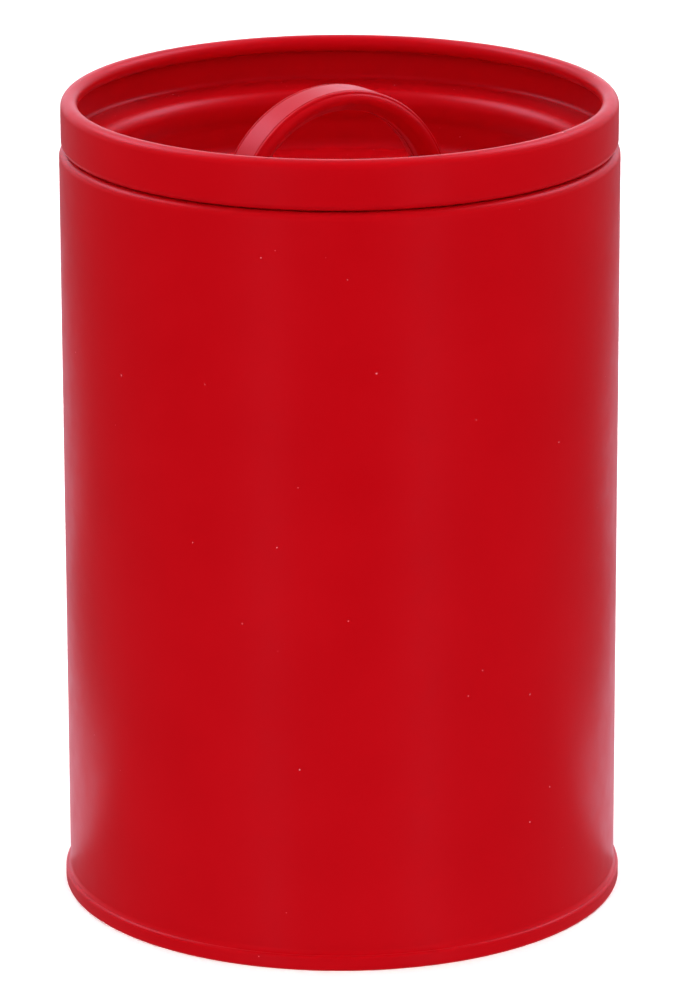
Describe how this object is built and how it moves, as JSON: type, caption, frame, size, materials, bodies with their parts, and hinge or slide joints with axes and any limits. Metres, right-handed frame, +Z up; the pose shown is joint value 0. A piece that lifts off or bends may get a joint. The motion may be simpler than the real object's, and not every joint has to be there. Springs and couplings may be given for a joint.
{
  "type": "tin canister with plug lid",
  "caption": "Cylindrical sheet-steel storage canister with a double-seamed base and a lift-off plug lid with a recessed arched handle.",
  "frame": {"origin": "centre of the plane that the base's double seam rests on", "axes": "+Z up along the cylinder's axis, -Y towards the front, +X to the right; the lap seam is at the back, on +Y"},
  "size_m": [0.1098, 0.1098, 0.16],
  "materials": {
    "body_lacquer": "satin red lacquer on tinplate",
    "lid_lacquer": "satin red lacquer on tinplate",
    "seal_rubber": "matt silicone",
    "compound": "matt sealing compound"
  },
  "bodies": {
    "canister": {"body_shell": "body_lacquer", "base_end": "body_lacquer", "seam_compound": "compound"},
    "seal": {"sealing_ring": "seal_rubber"},
    "lid": {"lid_pan": "lid_lacquer", "lid_handle": "lid_lacquer"}
  },
  "joints": [
    {"name": "lid_lift", "type": "slide", "parent": "canister", "child": "seal", "axis": [0, 0, 1], "range_m": [0, 0.04]},
    {"name": "lid_turn", "type": "hinge", "parent": "seal", "child": "lid", "pos_m": [0, 0, 0.1491], "axis": [0, 0, 1], "continuous": true}
  ]
}
